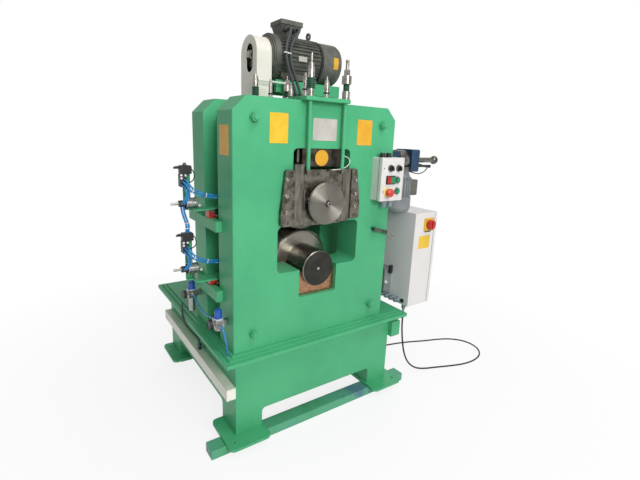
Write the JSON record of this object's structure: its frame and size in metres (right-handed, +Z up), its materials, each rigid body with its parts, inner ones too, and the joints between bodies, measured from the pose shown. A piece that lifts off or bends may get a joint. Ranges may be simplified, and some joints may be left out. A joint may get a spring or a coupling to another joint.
{
  "type": "powered two-roll rolling stand",
  "caption": "Free-standing powered two-roll rolling stand: twin green housings on a bedplate, turned rolls, top motor, adjusting gearmotor, air sets and electrical cabinet.",
  "frame": {"origin": "centre of the stand's outline box on the floor, without the mains lead", "axes": "+Z up, -Y towards the operator's side where the roll ends and the controls are, +X to the operator's right"},
  "size_m": [1.8835, 1.0703, 1.871],
  "materials": {
    "green_paint": "semi-gloss machine enamel over cast and plate steel",
    "beam_steel": "painted steel beam",
    "cream_paint": "cream enamel on sheet steel",
    "light_grey_paint": "powder coat on sheet steel",
    "dark_grey_paint": "olive-grey motor enamel",
    "mid_grey_paint": "grey motor enamel",
    "blue_paint": "dark blue gearbox enamel",
    "bare_steel": "ground bare steel",
    "scaled_steel": "machined steel with oil and heat stains",
    "turned_steel": "fine-turned steel",
    "bronze": "machined bronze",
    "aluminium": "natural aluminium",
    "black_plastic": "black moulded plastic",
    "black_rubber": "black cable sheath",
    "grey_rubber": "grey cable sheath",
    "blue_tube": "polyurethane air tube",
    "red_plastic": "red moulded plastic",
    "green_plastic": "green moulded plastic",
    "blue_plastic": "blue moulded knob",
    "yellow_plate": "blank adhesive plates, yellow and silver",
    "yellow_trim": "yellow and steel trim rings",
    "spring_green": "dark green disc springs"
  },
  "bodies": {
    "stand": {"skids": "beam_steel", "foot_plates": "green_paint", "base_frame": "green_paint", "table_top": "green_paint", "cable_trunking": "cream_paint", "front_housing": "green_paint", "rear_housing": "green_paint", "spacer_tubes": "green_paint", "tie_bolts": "green_paint", "crossheads": "green_paint", "window_liners": "bare_steel", "gib_plates": "scaled_steel", "gib_screws": "bare_steel", "pressure_blocks": "scaled_steel", "bearing_blocks": "bronze", "blank_plates": "yellow_plate", "balance_springs": "spring_green", "gear_case": "green_paint", "belt_guard": "cream_paint", "drive_belt": "black_rubber", "motor": "dark_grey_paint", "motor_stand": "green_paint", "motor_cables": "grey_rubber", "adjust_gearbox": "blue_paint", "adjust_motor": "mid_grey_paint", "control_box": "light_grey_paint", "control_trim": "yellow_trim", "cable_glands": "black_plastic", "cabinet_shell": "light_grey_paint", "air_brackets": "green_paint", "solenoid_valves": "black_plastic", "cylinder_bodies": "aluminium", "regulators": "aluminium", "air_tubes": "blue_tube", "lever_box": "mid_grey_paint", "mains_cable": "black_rubber", "cable_coil": "black_rubber", "mains_plug": "red_plastic"},
    "carriage": {"upper_chocks": "scaled_steel", "tie_rods": "green_paint"},
    "upper_roll": {"upper_roll": "turned_steel"},
    "lower_roll": {"lower_roll": "turned_steel"},
    "motor_rotor": {"motor_rotor": "bare_steel"},
    "input_pulley": {"input_pulley": "bare_steel"},
    "adjust_rod": {"adjust_rod": "bare_steel"},
    "cabinet_door": {"cabinet_door": "light_grey_paint"},
    "selector_left": {"selector_left": "black_plastic"},
    "selector_right": {"selector_right": "black_plastic"},
    "push_upper": {"push_upper": "green_plastic"},
    "push_lower": {"push_lower": "green_plastic"},
    "button_stop": {"button_stop": "red_plastic"},
    "button_start": {"button_start": "green_plastic"},
    "estop_button": {"estop_button": "red_plastic"},
    "switch_knob": {"switch_knob": "red_plastic"},
    "black_lever": {"black_lever": "black_plastic"},
    "bent_handle": {"bent_handle": "green_paint"},
    "regulator_knob_rear": {"regulator_knob_rear": "blue_plastic"},
    "regulator_knob_front": {"regulator_knob_front": "blue_plastic"},
    "cylinder_rod_upper": {"cylinder_rod_upper": "bare_steel"},
    "cylinder_rod_lower": {"cylinder_rod_lower": "bare_steel"}
  },
  "joints": [
    {"name": "roll_gap", "type": "slide", "parent": "stand", "child": "carriage", "axis": [0, 0, 1], "range_m": [-0.003, 0.008], "deforming": ["balance_springs"]},
    {"name": "upper_spin", "type": "hinge", "parent": "carriage", "child": "upper_roll", "pos_m": [-0.117, -0.221, 1.047], "axis": [0, 1, 0], "continuous": true},
    {"name": "lower_spin", "type": "hinge", "parent": "stand", "child": "lower_roll", "pos_m": [-0.117, -0.221, 0.753], "axis": [0, 1, 0], "continuous": true},
    {"name": "motor_spin", "type": "hinge", "parent": "stand", "child": "motor_rotor", "pos_m": [-0.096, 0.142, 1.695], "axis": [1, 0, 0], "continuous": true},
    {"name": "input_spin", "type": "hinge", "parent": "stand", "child": "input_pulley", "pos_m": [-0.096, 0.142, 1.28], "axis": [1, 0, 0], "continuous": true},
    {"name": "adjust_slide", "type": "slide", "parent": "stand", "child": "adjust_rod", "axis": [1, 0, 0], "range_m": [-0.064, 0.024]},
    {"name": "door_swing", "type": "hinge", "parent": "stand", "child": "cabinet_door", "pos_m": [0.6, -0.056, 0.708], "axis": [0, 0, 1], "range_deg": [0, 110]},
    {"name": "select_left", "type": "hinge", "parent": "stand", "child": "selector_left", "pos_m": [0.212, -0.5, 1.19], "axis": [0, 1, 0], "range_deg": [-45, 45]},
    {"name": "select_right", "type": "hinge", "parent": "stand", "child": "selector_right", "pos_m": [0.261, -0.5, 1.19], "axis": [0, 1, 0], "range_deg": [-45, 45]},
    {"name": "push_upper_press", "type": "slide", "parent": "stand", "child": "push_upper", "axis": [0, 1, 0], "range_m": [0, 0.004], "stiffness_N_per_m": 600, "springref_m": -0.002},
    {"name": "push_lower_press", "type": "slide", "parent": "stand", "child": "push_lower", "axis": [0, 1, 0], "range_m": [0, 0.004], "stiffness_N_per_m": 600, "springref_m": -0.002},
    {"name": "button_stop_press", "type": "slide", "parent": "stand", "child": "button_stop", "axis": [0, 1, 0], "range_m": [0, 0.004], "stiffness_N_per_m": 600, "springref_m": -0.002},
    {"name": "button_start_press", "type": "slide", "parent": "stand", "child": "button_start", "axis": [0, 1, 0], "range_m": [0, 0.004], "stiffness_N_per_m": 600, "springref_m": -0.002},
    {"name": "estop_press", "type": "slide", "parent": "stand", "child": "estop_button", "axis": [0, 1, 0], "range_m": [0, 0.006], "stiffness_N_per_m": 900, "springref_m": -0.002},
    {"name": "main_switch", "type": "hinge", "parent": "stand", "child": "switch_knob", "pos_m": [0.551, -0.463, 0.898], "axis": [0, 1, 0], "range_deg": [0, 90]},
    {"name": "lever_swing", "type": "hinge", "parent": "stand", "child": "black_lever", "pos_m": [0.431, -0.332, 0.62], "axis": [0, 1, 0], "range_deg": [-90, 0]},
    {"name": "handle_swing", "type": "hinge", "parent": "stand", "child": "bent_handle", "pos_m": [0.186, -0.436, 0.904], "axis": [0, 1, 0], "range_deg": [-40, 40]},
    {"name": "regulate_rear", "type": "hinge", "parent": "stand", "child": "regulator_knob_rear", "pos_m": [-0.559, -0.061, 0.61], "axis": [0, 0, 1], "range_deg": [-170, 170]},
    {"name": "regulate_front", "type": "hinge", "parent": "stand", "child": "regulator_knob_front", "pos_m": [-0.555, -0.374, 0.591], "axis": [0, 0, 1], "range_deg": [-170, 170]},
    {"name": "air_rod_upper", "type": "slide", "parent": "stand", "child": "cylinder_rod_upper", "axis": [1, 0, 0], "range_m": [-0.005, 0.025]},
    {"name": "air_rod_lower", "type": "slide", "parent": "stand", "child": "cylinder_rod_lower", "axis": [1, 0, 0], "range_m": [-0.005, 0.025]}
  ],
  "couplings": [
    {"joint": "upper_spin", "follows": "lower_spin", "ratio": -1},
    {"joint": "motor_spin", "follows": "lower_spin", "ratio": 10},
    {"joint": "input_spin", "follows": "lower_spin", "ratio": 10},
    {"joint": "adjust_slide", "follows": "roll_gap", "ratio": -8}
  ]
}
